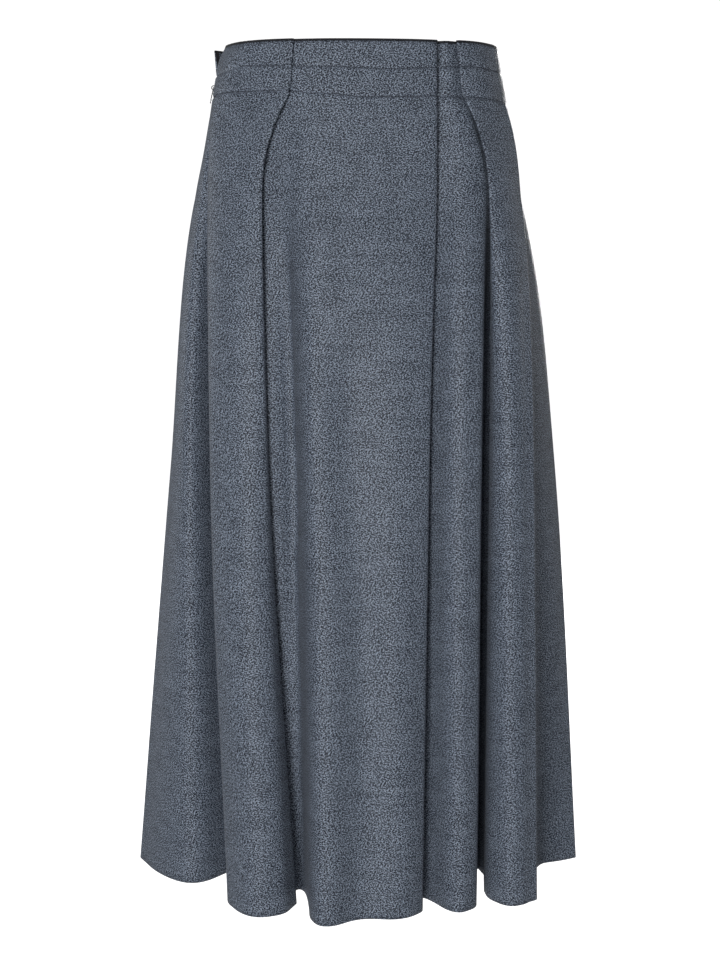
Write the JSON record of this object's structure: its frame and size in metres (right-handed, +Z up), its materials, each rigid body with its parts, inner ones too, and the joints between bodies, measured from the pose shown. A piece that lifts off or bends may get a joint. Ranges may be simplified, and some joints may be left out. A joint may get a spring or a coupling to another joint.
{
  "type": "pleated midi skirt",
  "caption": "Flared midi skirt of melange wool flannel with folded pleats, stitched down below the waist, and a side zip, filled out as worn.",
  "frame": {"origin": "middle of the waist opening, level with the top edge: where the wearer's waist holds the skirt", "axes": "+Z up, -Y towards the side with the three broad panels, the zip in the side seam at -X"},
  "size_m": [0.4434, 0.3556, 0.8004],
  "materials": {
    "cloth": "blue-grey melange wool flannel, lightly napped",
    "edge_tape": "near-black woven tape",
    "zip_metal": "dark lacquered metal"
  },
  "bodies": {
    "skirt": {"front_panel": "cloth", "back_panel": "cloth", "front_edge_tape": "edge_tape", "back_edge_tape": "edge_tape", "zip_tape": "edge_tape", "zip_slider": "zip_metal"},
    "pull_tab": {"zip_pull_tab": "zip_metal"}
  },
  "joints": [
    {"name": "pull_tab_swing", "type": "hinge", "parent": "skirt", "child": "pull_tab", "pos_m": [-0.13971, 0, -0.03526], "axis": [0, 1, 0], "range_deg": [0, 150]}
  ]
}
